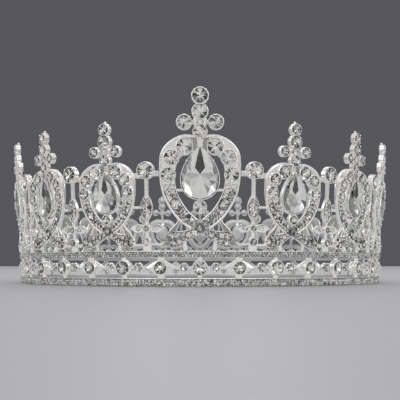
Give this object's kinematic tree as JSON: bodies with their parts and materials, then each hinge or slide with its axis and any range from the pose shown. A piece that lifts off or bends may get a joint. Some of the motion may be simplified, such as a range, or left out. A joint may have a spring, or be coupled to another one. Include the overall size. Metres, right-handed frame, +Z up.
{
  "type": "rhinestone crown",
  "caption": "Full round silver crown with openwork band, looped crests holding pear-cut crystals, posts and cross-shaped spires.",
  "frame": {"origin": "middle of the head opening, on the plane of the rim's foot", "axes": "+Z up through the open top; the tallest crest is at the front, towards -Y; +X to the right in the picture"},
  "size_m": [0.1574, 0.1595, 0.0661],
  "materials": {
    "silver_plate": "bright silver plate on cast alloy, satin on the plain inside",
    "pear_crystal": "clear pear-cut glass with a foiled back",
    "cut_crystal": "clear cut glass with a foiled back"
  },
  "bodies": {
    "root": {"front_band": "silver_plate", "back_band": "silver_plate", "crest_front": "silver_plate", "crest_right_1": "silver_plate", "crest_right_2": "silver_plate", "crest_right_3": "silver_plate", "crest_left_1": "silver_plate", "crest_left_2": "silver_plate", "crest_left_3": "silver_plate", "crest_back": "silver_plate", "crest_back_right_1": "silver_plate", "crest_back_right_2": "silver_plate", "crest_back_right_3": "silver_plate", "crest_back_right_4": "silver_plate", "crest_back_right_5": "silver_plate", "crest_back_right_6": "silver_plate", "crest_back_left_1": "silver_plate", "crest_back_left_2": "silver_plate", "crest_back_left_3": "silver_plate", "crest_back_left_4": "silver_plate", "crest_back_left_5": "silver_plate", "crest_back_left_6": "silver_plate", "pear_front": "pear_crystal", "pear_right_1": "pear_crystal", "pear_right_2": "pear_crystal", "pear_right_3": "pear_crystal", "pear_left_1": "pear_crystal", "pear_left_2": "pear_crystal", "pear_left_3": "pear_crystal", "pear_back": "pear_crystal", "pear_back_right_1": "pear_crystal", "pear_back_right_2": "pear_crystal", "pear_back_right_3": "pear_crystal", "pear_back_right_4": "pear_crystal", "pear_back_right_5": "pear_crystal", "pear_back_right_6": "pear_crystal", "pear_back_left_1": "pear_crystal", "pear_back_left_2": "pear_crystal", "pear_back_left_3": "pear_crystal", "pear_back_left_4": "pear_crystal", "pear_back_left_5": "pear_crystal", "pear_back_left_6": "pear_crystal", "post_stones": "cut_crystal", "spire_stones_front": "cut_crystal", "spire_stones_back": "cut_crystal", "loop_stones": "cut_crystal", "band_round_stones": "cut_crystal", "band_lozenge_stones": "cut_crystal", "band_small_stones": "cut_crystal"}
  },
  "joints": []
}
